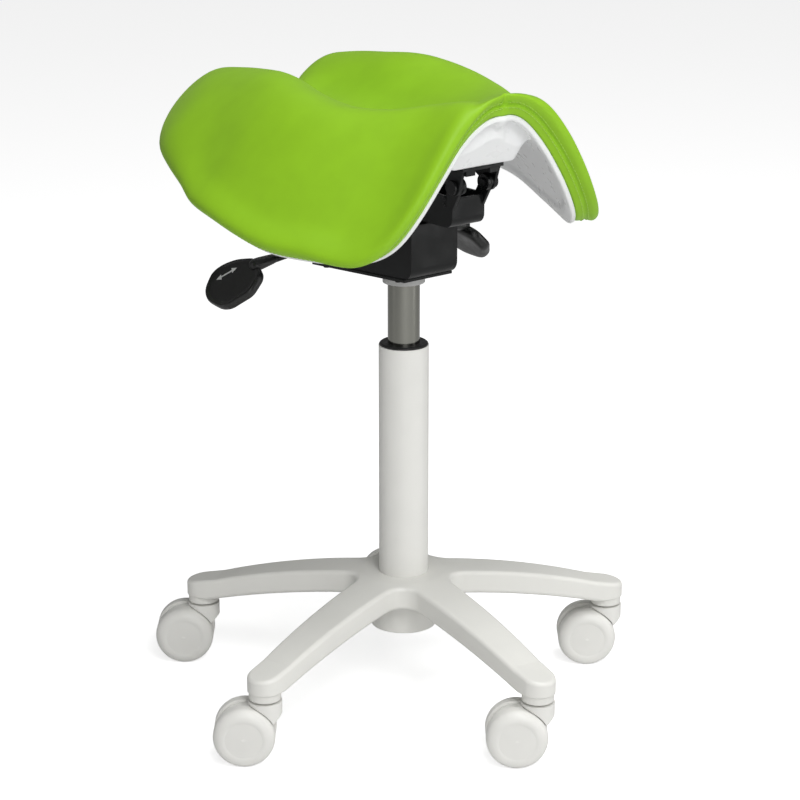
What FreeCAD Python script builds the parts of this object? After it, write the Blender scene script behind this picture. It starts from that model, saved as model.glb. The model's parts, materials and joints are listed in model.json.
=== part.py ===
import FreeCAD, Part
import math
import os
from FreeCAD import Vector

# Saddle stool: a five-armed castor base, a gas-lift column, a tilting sheet-steel mechanism
# and a split saddle seat.  Millimetres.  The rider faces -Y, the rider's left is +X, +Z is up,
# and the origin is on the floor under the column.  Helpers take (left, forward, up).

# Clearances
RUNNING = 0.05          # radial clearance of a shaft that turns or slides in its bore
SEATED = 0.02           # radial clearance of a pin fixed in its bore
APART = 0.3             # gap between faces of bodies that pass each other

# Base
ARM_COUNT = 5
FIRST_ARM_DEG = 266.33
STEM_CIRCLE = 223.0     # radius of the circle of castor stems
ARM_HUB_HALF = 22.0     # half width of an arm where it leaves the hub fillets
ARM_HUB_AT = 60.0
ARM_TIP_HALF = 17.0     # end radius of an arm
VALLEY_RADIUS = 20.0
ARM_WALL = 4.0
ARM_EDGE_ROUND = 4.0
HUB_TOP = 127.5
HUB_FLAT = 42.0
ARM_MID_AT = 130.0
ARM_MID_TOP = 114.5
ARM_END_AT = 205.0
ARM_END_TOP = 95.0
ARM_TIP_TOP = 87.5
SKIRT_DEPTH = 24.0      # height of an arm's side walls
TIP_SKIRT = 73.0
BOSS_BOTTOM = 65.0
BOSS_RADIUS = 15.5
HUB_TUBE_RADIUS = 33.0
HUB_TUBE_BOTTOM = 70.0
RIB_THICKNESS = 3.0

# Castors
WHEEL_RADIUS = 30.0
WHEEL_FACE_RADIUS = 24.0
WHEEL_INNER = 6.0       # distance of a wheel's inner face from the castor's middle plane
WHEEL_OUTER = 24.0
WHEEL_ROUND_DEPTH = 9.0
CASTOR_TRAIL = 20.0
CASTOR_TRAIL_DEG = 141.0
CASTOR_HOUSING_RADIUS = 16.5
CASTOR_WEB_HALF = 5.6
AXLE_RADIUS = 4.0
STEM_RADIUS = 5.5
STEM_LENGTH = 18.0
STEM_FLANGE_RADIUS = 10.0
STEM_FLANGE = 1.6
PIVOT_PIN_RADIUS = 3.9
PIVOT_PIN_LENGTH = 17.0

# Column and gas lift
COLUMN_RADIUS = 25.0
COLUMN_WALL = 2.0
COLUMN_BOTTOM = 72.0
COLUMN_TOP = 367.0
COLUMN_FLOOR = 4.0
GAS_RADIUS = 16.0
GAS_WALL = 2.0
GAS_BOTTOM = 160.0
GAS_GUIDE = 12.0
GAS_SHOULDER = 437.0
GAS_TAPER = 41.0
GAS_TOP = GAS_SHOULDER + GAS_TAPER
TAPER_TOP_RADIUS = 14.4
BUSH_LENGTH = 60.0
BUSH_FLANGE = 2.5
ROD_RADIUS = 5.0
ROD_TOP = 306.0
BEARING_HEIGHT = 3.6
VALVE_RADIUS = 4.0
VALVE_PROUD = 6.0
VALVE_DEPTH = 20.0
COLLAR_RADIUS = 21.0
COLLAR_HEIGHT = 6.5

# Mechanism housing
SHEET = 3.0
HOUSING_HALF = 29.0
HOUSING_FRONT = 47.0
HOUSING_REAR = -110.0
HOUSING_FRONT_BOTTOM = GAS_SHOULDER + 8.0
HOUSING_HEIGHT = 55.0
HOUSING_TOP = HOUSING_FRONT_BOTTOM + HOUSING_HEIGHT
HOUSING_SLOPE = 0.0735  # fall of the lower edge, per millimetre towards the rear
HOUSING_BEND = 12.0
SOCKET_RADIUS = 19.0
PLATE_OVERHANG = 1.0

# Tilt bracket and seat pivot
SPACER_HEIGHT = 5.0
SPACER_HALF = 14.0
BRACKET_HALF = 20.0
BRACKET_FRONT = 97.0
BRACKET_REAR = -92.0
BRACKET_BEND = 10.0
BRACKET_BOTTOM = HOUSING_TOP + SPACER_HEIGHT
BRACKET_FRONT_TOP = BRACKET_BOTTOM + 29.0
BRACKET_SIDE_TOP = BRACKET_BOTTOM + 30.5
BRACKET_REAR_TOP = BRACKET_BOTTOM + 17.0
RIVET_FORWARD = 86.0
RIVET_RADIUS = 2.1
PIVOT_FORWARD = 102.0
PIVOT_UP = BRACKET_BOTTOM + 42.0
PIVOT_BOLT_RADIUS = 4.0
PIVOT_EAR_RADIUS = 8.5
LUG_THICKNESS = 3.0

# Mounting plate under the seat
MOUNT_UNDER = PIVOT_UP + 17.0
MOUNT_THICKNESS = 3.0
MOUNT_HALF = 32.0
MOUNT_FRONT = 118.0
MOUNT_REAR = -95.0
SCREW_AT = ((40.0, 22.0), (-62.0, 22.0))
SCREW_RADIUS = 3.0
SHELL_BOSS_RADIUS = 7.0
SCREW_DEPTH = 6.0

# Levers
LEVER_FORWARD = -65.0
LEVER_PIVOT_LEFT = 19.5
LEVER_PIVOT_UP = HOUSING_FRONT_BOTTOM + 25.0
LEVER_ROD_RADIUS = 4.5
LEVER_HUB_RADIUS = 6.0
LEVER_HUB_LENGTH = 12.0
LEVER_PIN_RADIUS = 2.5
LEVER_END_LEFT = 124.0
LEVER_END_UP = LEVER_PIVOT_UP - 12.5
LEVER_SWING_GAP = 1.0   # so that the lever's inner end clears the pressure plate when pulled
LEVER_HOLE_RADIUS = 7.0
PADDLE_RISE = 4.0
PADDLE_DEPTH = 7.0
PADDLE_DROOP_DEG = 45.0
PADDLE_SWEEP_DEG = 26.5
# The paddle's faceted outline: distance out from its neck, distance towards the front
PADDLE_OUTLINE = ((0, -12), (16, -29), (32, -37), (45, -38), (60, -23), (62, -7),
                  (54, 14), (46, 22), (31, 25), (19, 28), (3, 18), (0, 12))

# Tilt lock
LINK_HALF = 2.0
LINK_SIDE = 11.0
CLAMP_FORWARD = -62.0
CLAMP_UP = HOUSING_TOP - 20.0
CLAMP_PIN_RADIUS = 4.0
CLAMP_HEAD_RADIUS = 6.5
FRICTION_THICKNESS = 2.0
FRICTION_RADIUS = 13.0
TILT_FORWARD_DEG = 6.0
TILT_BACK_DEG = 4.0
SLOT_MARGIN_DEG = 1.5
LINK_FOOT_DEG = 1.1

# Seat, for a mounting plate whose top is at SEAT_DATUM.  Each row: forward, valley height, half width of the ridge, ridge height,
# half width of the flank, flank height, roundness of the ridge.
SEAT_DATUM = 567.0
SHELL_STATIONS = (
    (146, 619, 5, 619, 92, 531, 60), (118, 588, 20, 610, 116, 505, 60), (92, 573, 36, 600, 137, 491, 58),
    (50, 572, 50, 597, 161, 489, 54), (14, 572, 60, 598, 176, 493, 60), (-40, 572, 70, 603, 186, 507, 70),
    (-87, 572, 76, 607, 178, 520, 80), (-140, 574, 80, 607, 159, 538, 80), (-175, 574, 82, 600, 141, 549, 70),
    (-205, 570, 84, 580, 118, 555, 60), (-225, 562, 85, 566, 95, 558, 50))
PAD_STATIONS = (
    (160, 629, 39, 631, 112, 545, 45), (130, 629, 34, 633, 126, 521, 40), (100, 621, 42, 628, 147, 506, 44),
    (60, 605, 70, 620, 172, 500, 54), (14, 596, 95, 620, 190, 505, 60), (-40, 589, 98, 629, 198, 522, 70),
    (-87, 593, 86, 636, 188, 545, 80), (-140, 598, 76, 632, 168, 580, 85), (-175, 605, 76, 628, 150, 588, 85),
    (-205, 603, 71, 623, 128, 588, 80), (-235, 596, 68, 615, 100, 584, 60))
# Half of the shell's rim seen from above: forward, left
RIM = ((146, 0), (144.5, 22), (142, 45), (141, 68), (137, 91), (127, 111), (106, 129), (80, 145), (50, 161),
       (15, 176), (-30, 185), (-70, 183), (-105, 172), (-140, 159), (-168, 145), (-190, 124), (-204, 103),
       (-209, 82), (-206, 58), (-197, 36), (-186, 18), (-180, 0))
# How far the pad stands out past the rim: forward, distance
PAD_BULGE = ((160, 10), (100, 9), (60, 3), (-100, 2), (-150, 4), (-230, 5))
# Where the seat's cross sections are drawn: forward, half width
SECTIONS = ((166, 118), (146, 128), (118, 142), (92, 158), (50, 178), (14, 192), (-40, 202), (-87, 200),
            (-140, 184), (-175, 168), (-205, 150), (-235, 135))
SHELL_THICKNESS = 5.0
PAD_GAP = 0.5          # between the shell and what is laid on it
SEAM_HEIGHT = 9.0       # height of the sewn strip above the shell
SEAM_INSET = 2.5        # how far the strip is drawn in from the shell's rim
SEAM_WIDTH = 10.0

os.makedirs("parts", exist_ok=True)


def at(left, forward, up):
    return Vector(left, -forward, up)


LEFTWARD = Vector(1, 0, 0)
FORWARD = Vector(0, -1, 0)
UP = Vector(0, 0, 1)
FLOOR = Vector(0, 0, 0)


def save(name, *shapes):
    shape = shapes[0] if len(shapes) == 1 else Part.makeCompound(list(shapes))
    if not shape.isValid():
        print("not valid:", name)
    shape.exportStep("parts/" + name + ".step")
    return shape


def fused(first, *others):
    return first.multiFuse(list(others)).removeSplitter()


def closed_face(points):
    """A flat face; a point of three numbers is a corner, a pair of points is an arc's middle and end."""
    edges = []
    start = points[0]
    for item in list(points[1:]) + [points[0]]:
        if isinstance(item, tuple):
            edges.append(Part.Arc(start, item[0], item[1]).toShape())
            start = item[1]
        elif item.distanceToPoint(start) > 1e-6:
            edges.append(Part.makeLine(start, item))
            start = item
    return Part.Face(Part.Wire(edges))


def side_slab(points, left, thickness):
    """A slab from a profile of (forward, up) points, from `left` towards the rider's left."""
    def place(item):
        if isinstance(item[0], tuple):
            return tuple(at(left, f, z) for f, z in item)
        return at(left, item[0], item[1])
    return closed_face([place(item) for item in points]).extrude(LEFTWARD * thickness)


def block(left, forward, up):
    """A box from (low, high) pairs."""
    corner = Vector(left[0], -forward[1], up[0])
    return Part.makeBox(left[1] - left[0], forward[1] - forward[0], up[1] - up[0], corner)


def post(radius, low, high, left=0.0, forward=0.0):
    return Part.makeCylinder(radius, high - low, at(left, forward, low), UP)


def ring(outer, inner, low, high, left=0.0, forward=0.0):
    return post(outer, low, high, left, forward).cut(post(inner, low - 1, high + 1, left, forward))


def cross_pin(radius, left, forward, up):
    """A pin along the rider's left, from left[0] to left[1]."""
    return Part.makeCylinder(radius, left[1] - left[0], at(left[0], forward, up), LEFTWARD)


def turned(profile, centre=FLOOR, axis=UP):
    """A solid of revolution about a vertical axis from (radius, height) points, arcs allowed."""
    def place(item):
        if isinstance(item[0], tuple):
            return tuple(Vector(r, 0, z) for r, z in item)
        return Vector(item[0], 0, item[1])
    solid = closed_face([place(item) for item in profile]).revolve(FLOOR, UP, 360)
    solid.Placement = FreeCAD.Placement(centre, FreeCAD.Rotation(UP, axis))
    return solid


def both_sides(shape):
    """The shape and its mirror image on the other side of the stool."""
    return [shape, shape.mirror(FLOOR, LEFTWARD)]


# Base


def star_face(inset, height):
    """The plan of the star, with its outline moved in by `inset`."""
    tip = ARM_TIP_HALF - inset
    hub = ARM_HUB_HALF - inset
    reach = STEM_CIRCLE - ARM_HUB_AT
    valley = VALLEY_RADIUS + inset
    # The side line touches the tip's arc and has the hub's half width at ARM_HUB_AT
    a = reach * reach - tip * tip
    b = 2 * hub * reach
    c = hub * hub - tip * tip
    slope = (-b + math.sqrt(b * b - 4 * a * c)) / (2 * a)
    length = math.sqrt(1 + slope * slope)
    nx, ny = -slope / length, 1 / length
    half_turn = math.pi / ARM_COUNT
    offset = valley * length + hub - slope * ARM_HUB_AT
    centre = offset / (math.sin(half_turn) - slope * math.cos(half_turn))
    cx, cy = centre * math.cos(half_turn), centre * math.sin(half_turn)
    near = (cx - valley * nx, cy - valley * ny)
    far = (STEM_CIRCLE + tip * nx, tip * ny)
    end = (STEM_CIRCLE + tip, 0.0)

    def turn(p, k):
        angle = math.radians(FIRST_ARM_DEG) + 2 * half_turn * k
        return Vector(p[0] * math.cos(angle) - p[1] * math.sin(angle),
                      p[0] * math.sin(angle) + p[1] * math.cos(angle), height)
    edges = []
    valley_mid = ((centre - valley) * math.cos(half_turn), (centre - valley) * math.sin(half_turn))
    for k in range(ARM_COUNT):
        mirrored_near = (near[0], -near[1])
        mirrored_far = (far[0], -far[1])
        edges.append(Part.makeLine(turn(mirrored_near, k), turn(mirrored_far, k)))
        edges.append(Part.Arc(turn(mirrored_far, k), turn(end, k), turn(far, k)).toShape())
        edges.append(Part.makeLine(turn(far, k), turn(near, k)))
        edges.append(Part.Arc(turn(near, k), turn(valley_mid, k), turn(mirrored_near, k + 1)).toShape())
    return Part.Face(Part.Wire(edges))


def arm_directions():
    step = 360.0 / ARM_COUNT
    return [math.radians(FIRST_ARM_DEG + step * k) for k in range(ARM_COUNT)]


def stem_place(angle, height):
    return Vector(STEM_CIRCLE * math.cos(angle), STEM_CIRCLE * math.sin(angle), height)


def arm_envelope(top_inset, bottom):
    """The turned form between the arms' top line and a lower line of (radius, height) points."""
    reach = STEM_CIRCLE + ARM_TIP_HALF + 2
    top = [(0, HUB_TOP - top_inset), (HUB_FLAT, HUB_TOP - top_inset),
           ((ARM_MID_AT, ARM_MID_TOP - top_inset), (ARM_END_AT, ARM_END_TOP - top_inset)),
           (reach, ARM_TIP_TOP - top_inset)]
    return turned(top + bottom)


def make_star_base():
    reach = STEM_CIRCLE + ARM_TIP_HALF + 2
    skirt = [(reach, TIP_SKIRT), (ARM_END_AT, TIP_SKIRT),
             ((ARM_MID_AT, ARM_MID_TOP - SKIRT_DEPTH), (HUB_FLAT, HUB_TOP - SKIRT_DEPTH)),
             (0, HUB_TOP - SKIRT_DEPTH)]
    body = star_face(0.0, 0.0).extrude(UP * (HUB_TOP + 10)).common(arm_envelope(0.0, skirt))
    edges = []
    for edge in body.Edges:
        lengthwise = edge.valueAt(edge.FirstParameter + 0.5 * (edge.LastParameter - edge.FirstParameter))
        plan = math.hypot(lengthwise.x, lengthwise.y)
        top_line = ARM_TIP_TOP - 1 if plan > ARM_END_AT else ARM_MID_TOP - 30 if plan > ARM_MID_AT else 109
        on_wall = abs(edge.tangentAt(edge.FirstParameter).z) < 0.9
        across = math.hypot(edge.Vertexes[0].X, edge.Vertexes[0].Y) if edge.Vertexes else 0
        if lengthwise.z > top_line and on_wall and plan > 46 and across > 46:
            edges.append(edge)
    body = body.makeFillet(ARM_EDGE_ROUND, edges)
    floor = [(reach, BOSS_BOTTOM - 5), (0, BOSS_BOTTOM - 5)]
    hollow = star_face(ARM_WALL, 0.0).extrude(UP * (HUB_TOP + 10)).common(arm_envelope(ARM_WALL, floor))
    body = body.cut(hollow)
    ribs = []
    bosses = []
    rib_line = [(STEM_CIRCLE, TIP_SKIRT + 3), (ARM_END_AT, TIP_SKIRT + 3),
                ((ARM_MID_AT, ARM_MID_TOP - SKIRT_DEPTH + 5), (HUB_FLAT, HUB_TOP - SKIRT_DEPTH + 5)),
                (0, HUB_TOP - SKIRT_DEPTH + 5)]
    under_skin = arm_envelope(ARM_WALL / 2, rib_line)
    for angle in arm_directions():
        rib = Part.makeBox(STEM_CIRCLE, RIB_THICKNESS, HUB_TOP, Vector(0, -RIB_THICKNESS / 2, 0))
        rib.rotate(FLOOR, UP, math.degrees(angle))
        ribs.append(rib)
        bosses.append(Part.makeCone(BOSS_RADIUS, BOSS_RADIUS + 1, ARM_TIP_TOP - ARM_WALL + 1 - BOSS_BOTTOM,
                                    stem_place(angle, BOSS_BOTTOM), UP))
    ribs = ribs[0].multiFuse(ribs[1:]).common(under_skin)
    hub = post(HUB_TUBE_RADIUS, HUB_TUBE_BOTTOM, HUB_TOP - 1)
    body = fused(body, ribs, hub, *bosses)
    cuts = [post(COLUMN_RADIUS + SEATED, 0, HUB_TOP + 20)]
    for angle in arm_directions():
        cuts.append(Part.makeCylinder(STEM_RADIUS + SEATED, STEM_LENGTH + SEATED,
                                      stem_place(angle, BOSS_BOTTOM), UP))
    return body.cut(cuts[0].multiFuse(cuts[1:]))


def make_castor(index, angle):
    """A twin-wheel castor: its own axes are +X backwards along the trail, +Z up from the floor."""
    pin_top = BOSS_BOTTOM - STEM_FLANGE
    pin_bottom = pin_top - PIVOT_PIN_LENGTH
    stem = fused(post(STEM_RADIUS, BOSS_BOTTOM - 0.5, BOSS_BOTTOM + STEM_LENGTH - 0.5),
                 post(STEM_FLANGE_RADIUS, pin_top, BOSS_BOTTOM),
                 post(PIVOT_PIN_RADIUS, pin_bottom, pin_top))
    axle_at = Vector(CASTOR_TRAIL, 0, WHEEL_RADIUS)
    across = Vector(0, 1, 0)

    def drum(radius, low, high):
        return Part.makeCylinder(radius, high - low, axle_at + across * low, across)
    housing_top = pin_top - APART
    housing = post(CASTOR_HOUSING_RADIUS, WHEEL_RADIUS + 4, housing_top)
    wheel_room = fused(drum(WHEEL_RADIUS + 1, CASTOR_WEB_HALF, WHEEL_OUTER + 3),
                       drum(WHEEL_RADIUS + 1, -WHEEL_OUTER - 3, -CASTOR_WEB_HALF))
    slant = closed_face([Vector(-CASTOR_HOUSING_RADIUS - 2, -30, WHEEL_RADIUS + 22),
                         Vector(-CASTOR_HOUSING_RADIUS - 2, -30, WHEEL_RADIUS - 5),
                         Vector(2, -30, WHEEL_RADIUS - 5),
                         Vector(2, -30, WHEEL_RADIUS + 4)]).extrude(across * 60)
    web = drum(WHEEL_RADIUS - 3, -CASTOR_WEB_HALF, CASTOR_WEB_HALF)
    web_low = Part.makeBox(200, 100, 40, Vector(-100, -50, -WHEEL_RADIUS + 6.5))
    gusset = closed_face([Vector(-9, -CASTOR_WEB_HALF, housing_top - 3), Vector(-9, -CASTOR_WEB_HALF, 44),
                          Vector(CASTOR_TRAIL - 20, -CASTOR_WEB_HALF, 30),
                          Vector(CASTOR_TRAIL, -CASTOR_WEB_HALF, 30),
                          Vector(CASTOR_TRAIL + 4, -CASTOR_WEB_HALF, WHEEL_RADIUS + 26.5),
                          Vector(CASTOR_HOUSING_RADIUS - 2, -CASTOR_WEB_HALF, housing_top - 3)])
    gusset = gusset.extrude(across * 2 * CASTOR_WEB_HALF)
    body = fused(housing.cut(wheel_room).cut(slant), web.cut(web_low), gusset,
                 drum(AXLE_RADIUS + 4, -CASTOR_WEB_HALF, CASTOR_WEB_HALF))
    body = body.cut(post(PIVOT_PIN_RADIUS + RUNNING, pin_bottom - 1, housing_top + 5))
    body = body.cut(drum(AXLE_RADIUS + SEATED, -20, 20))
    axle = drum(AXLE_RADIUS, -WHEEL_OUTER + 4, WHEEL_OUTER - 4)

    # A wheel's section through its axle: (distance from the axle, distance from the middle plane)
    shoulder = WHEEL_OUTER - WHEEL_ROUND_DEPTH
    section = [(0, WHEEL_OUTER), (WHEEL_FACE_RADIUS - 6, WHEEL_OUTER - 0.6),
               ((WHEEL_FACE_RADIUS + 3.4, WHEEL_OUTER - 3.2), (WHEEL_RADIUS, shoulder)),
               (WHEEL_RADIUS, WHEEL_INNER + 1), (WHEEL_RADIUS - 1, WHEEL_INNER), (0, WHEEL_INNER)]
    wheel = turned(section, axle_at, across)
    hollow = drum(WHEEL_RADIUS - 5, WHEEL_INNER - 1, WHEEL_INNER + 7).cut(
        drum(AXLE_RADIUS + 5, WHEEL_INNER - 2, WHEEL_INNER + 8))
    wheel = wheel.cut(hollow).cut(drum(AXLE_RADIUS + RUNNING, 0, WHEEL_OUTER - 4 + APART))
    other_wheel = wheel.mirror(FLOOR, across)

    place = FreeCAD.Placement(stem_place(angle, 0), FreeCAD.Rotation(UP, CASTOR_TRAIL_DEG))
    pieces = {"castor_stem": stem, "castor_body": body, "castor_axle": axle,
              "castor_wheel_left": other_wheel, "castor_wheel_right": wheel}
    for name, shape in pieces.items():
        shape.Placement = place.multiply(shape.Placement)
        save(name + "_" + str(index), shape)


save("star_base", make_star_base())
for number, direction in enumerate(arm_directions(), start=1):
    make_castor(number, direction)

# Column and gas lift
tube_inner = COLUMN_RADIUS - COLUMN_WALL
tube = ring(COLUMN_RADIUS, tube_inner, COLUMN_BOTTOM, COLUMN_TOP)
floor_plate = ring(tube_inner + 1, ROD_RADIUS + RUNNING, COLUMN_BOTTOM, COLUMN_BOTTOM + COLUMN_FLOOR)
save("column_tube", fused(tube, floor_plate))

gas_bore = GAS_RADIUS + RUNNING
save("guide_bush", turned([(gas_bore, COLUMN_TOP - BUSH_LENGTH), (tube_inner - SEATED, COLUMN_TOP - BUSH_LENGTH),
                           (tube_inner - SEATED, COLUMN_TOP), (COLUMN_RADIUS - 0.8, COLUMN_TOP),
                           (COLUMN_RADIUS - 0.8, COLUMN_TOP + BUSH_FLANGE - 1),
                           (COLUMN_RADIUS - 2, COLUMN_TOP + BUSH_FLANGE), (gas_bore, COLUMN_TOP + BUSH_FLANGE)]))

bearing_low = COLUMN_BOTTOM + COLUMN_FLOOR
bearing_top = bearing_low + BEARING_HEIGHT
washer = 0.8
cage = ring(13, ROD_RADIUS + 1.5, bearing_low + washer, bearing_top - washer)
save("thrust_bearing", ring(14, ROD_RADIUS + 1, bearing_low, bearing_low + washer), cage,
     ring(14, ROD_RADIUS + 1, bearing_top - washer, bearing_top))

clip_low = COLUMN_BOTTOM - 2.2
rod_shoulder = bearing_top + RUNNING
rod = fused(post(ROD_RADIUS, COLUMN_BOTTOM - 6, ROD_TOP), post(ROD_RADIUS + 4, rod_shoulder, rod_shoulder + 4),
            post(GAS_RADIUS - GAS_WALL - RUNNING, ROD_TOP - 10, ROD_TOP))
clip_groove = ring(ROD_RADIUS + 1, ROD_RADIUS - 1, clip_low, clip_low + 1.2)
save("piston_rod", rod.cut(clip_groove))
save("rod_clip", ring(ROD_RADIUS + 3.5, ROD_RADIUS - 1 + SEATED, clip_low + 0.05, clip_low + 1.15))

gas = turned([(0, GAS_BOTTOM), (GAS_RADIUS, GAS_BOTTOM), (GAS_RADIUS, GAS_SHOULDER),
              (TAPER_TOP_RADIUS, GAS_TOP), (0, GAS_TOP)])
gas_inside = post(GAS_RADIUS - GAS_WALL, GAS_BOTTOM + GAS_GUIDE, GAS_SHOULDER - 1)
guide_hole = post(ROD_RADIUS + RUNNING, GAS_BOTTOM - 1, GAS_BOTTOM + GAS_GUIDE + 1)
valve_bore = post(VALVE_RADIUS + RUNNING, GAS_TOP - VALVE_DEPTH - 6, GAS_TOP + 1)
save("gas_cylinder", gas.cut(gas_inside.fuse(guide_hole)).cut(valve_bore))
valve_top = GAS_TOP + VALVE_PROUD
save("valve_button", turned([(0, GAS_TOP - VALVE_DEPTH), (VALVE_RADIUS, GAS_TOP - VALVE_DEPTH),
                             (VALVE_RADIUS, valve_top - 1.5), (VALVE_RADIUS - 1.5, valve_top), (0, valve_top)]))
plate_top_at_column = HOUSING_FRONT_BOTTOM - HOUSING_SLOPE * (HOUSING_FRONT - HOUSING_BEND)


def housing_edge(forward):
    """Height of the housing's lower edge."""
    return HOUSING_FRONT_BOTTOM - HOUSING_SLOPE * (HOUSING_FRONT - HOUSING_BEND - forward)


collar_top = housing_edge(-COLLAR_RADIUS) - SHEET
save("column_collar", ring(COLLAR_RADIUS, gas_bore, collar_top - COLLAR_HEIGHT, collar_top))

# Mechanism housing: a box of sheet steel, open underneath, with a bent front
bend_at = HOUSING_FRONT - HOUSING_BEND
corner = math.sqrt(0.5)


def housing_profile(inset, rear_bottom, front_bottom):
    front = HOUSING_FRONT - inset
    bend = HOUSING_BEND - inset
    centre_up = HOUSING_FRONT_BOTTOM + HOUSING_BEND
    return [(HOUSING_REAR + inset, HOUSING_TOP - inset), (front, HOUSING_TOP - inset), (front, centre_up),
            ((bend_at + bend * corner, centre_up - bend * corner), (bend_at, centre_up - bend)),
            (bend_at, front_bottom), (HOUSING_REAR + inset, rear_bottom)]


outside = side_slab(housing_profile(0.0, housing_edge(HOUSING_REAR), HOUSING_FRONT_BOTTOM), -HOUSING_HALF,
                    2 * HOUSING_HALF)
inside = side_slab(housing_profile(SHEET, HOUSING_FRONT_BOTTOM - 40, HOUSING_FRONT_BOTTOM - 40),
                   -HOUSING_HALF + SHEET, 2 * (HOUSING_HALF - SHEET))
wall_hole = cross_pin(LEVER_HOLE_RADIUS, (-HOUSING_HALF - 5, HOUSING_HALF + 5), LEVER_FORWARD,
                      LEVER_PIVOT_UP - 0.5)
housing = outside.cut(inside).cut(wall_hole)
hub_half = LEVER_HUB_LENGTH / 2
ears = []
for low in (LEVER_FORWARD - hub_half - APART - 2, LEVER_FORWARD + hub_half + APART):
    ear = block((LEVER_PIVOT_LEFT - 5, HOUSING_HALF - 1), (low, low + 2), (LEVER_PIVOT_UP - 6, LEVER_PIVOT_UP + 8))
    ears += both_sides(ear)
link_gap = 0.1
stack = LINK_HALF + link_gap + FRICTION_THICKNESS + link_gap
clamp_ear = block((-stack - SHEET, -stack), (CLAMP_FORWARD - 16, CLAMP_FORWARD + 16),
                  (CLAMP_UP - 12, HOUSING_TOP - 1))
housing = fused(housing, clamp_ear, *ears)
swing = math.radians(max(TILT_FORWARD_DEG, TILT_BACK_DEG)) * (PIVOT_UP - HOUSING_TOP) + 3
link_slot = block((-LINK_HALF - 1, LINK_HALF + 1),
                  (CLAMP_FORWARD - LINK_SIDE - swing, CLAMP_FORWARD + LINK_SIDE + swing),
                  (HOUSING_TOP - 10, HOUSING_TOP + 20))
pin_length = 2 * (hub_half + APART + 2)
pin_holes = []
pins = []
for side in (-LEVER_PIVOT_LEFT, LEVER_PIVOT_LEFT):
    start = at(side, LEVER_FORWARD + pin_length / 2, LEVER_PIVOT_UP)
    pin_holes.append(Part.makeCylinder(LEVER_PIN_RADIUS + SEATED, pin_length, start, -FORWARD))
    pins.append(Part.makeCylinder(LEVER_PIN_RADIUS, pin_length, start, -FORWARD))
clamp_hole = cross_pin(CLAMP_PIN_RADIUS + SEATED, (-stack - SHEET - 1, -stack + 1), CLAMP_FORWARD, CLAMP_UP)
save("mechanism_housing", housing.cut(link_slot).cut(clamp_hole).cut(pin_holes[0]).cut(pin_holes[1]))
save("lever_pivot_pins", *pins)

# Base plate of the housing, with the tapered socket of the gas lift
plate_front = bend_at + 3
plate_profile = [(plate_front, housing_edge(plate_front)), (HOUSING_REAR, housing_edge(HOUSING_REAR)),
                 (HOUSING_REAR, housing_edge(HOUSING_REAR) - SHEET),
                 (plate_front, housing_edge(plate_front) - SHEET)]
plate = side_slab(plate_profile, -HOUSING_HALF - PLATE_OVERHANG, 2 * (HOUSING_HALF + PLATE_OVERHANG))
housing_lip = block((-HOUSING_HALF - 5, HOUSING_HALF + 5), (bend_at, plate_front + 5),
                    (HOUSING_FRONT_BOTTOM, HOUSING_FRONT_BOTTOM + 10))
plate = plate.cut(housing_lip)
socket = post(SOCKET_RADIUS, housing_edge(0) - 1, GAS_TOP - 2)
taper_room = turned([(0, GAS_SHOULDER - 20), (GAS_RADIUS + SEATED, GAS_SHOULDER - 20),
                     (GAS_RADIUS + SEATED, GAS_SHOULDER), (TAPER_TOP_RADIUS + SEATED, GAS_TOP), (0, GAS_TOP)])
save("housing_base_plate", fused(plate, socket).cut(taper_room))
screws = []
for forward in (20.0, -95.0):
    under = housing_edge(forward) - SHEET
    head = post(3.2, under - 2.2, under + 0.2, HOUSING_HALF - 6, forward)
    below = side_slab([(plate_front, housing_edge(plate_front) - SHEET), (HOUSING_REAR, housing_edge(HOUSING_REAR)
                      - SHEET), (HOUSING_REAR, 400), (plate_front, 400)], -HOUSING_HALF, 2 * HOUSING_HALF)
    screws += both_sides(head.common(below))
save("base_plate_screws", *screws)

# Tilt bracket: a channel of sheet steel on a spacer, with ears that carry the seat's pivot
spacer = block((-SPACER_HALF, SPACER_HALF), (BRACKET_REAR + 6, HOUSING_FRONT - 8),
               (HOUSING_TOP, HOUSING_TOP + SPACER_HEIGHT))
save("bracket_spacer", spacer.cut(link_slot))


def channel_profile(inset):
    bend = BRACKET_BEND - inset
    f0 = BRACKET_FRONT - BRACKET_BEND
    z0 = BRACKET_BOTTOM + BRACKET_BEND
    return [(BRACKET_REAR - inset, BRACKET_BOTTOM + inset), (f0, BRACKET_BOTTOM + inset),
            ((f0 + bend * corner, z0 - bend * corner), (BRACKET_FRONT - inset, z0)),
            (BRACKET_FRONT - inset, BRACKET_SIDE_TOP + 20), (BRACKET_REAR - inset, BRACKET_SIDE_TOP + 20)]


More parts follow.
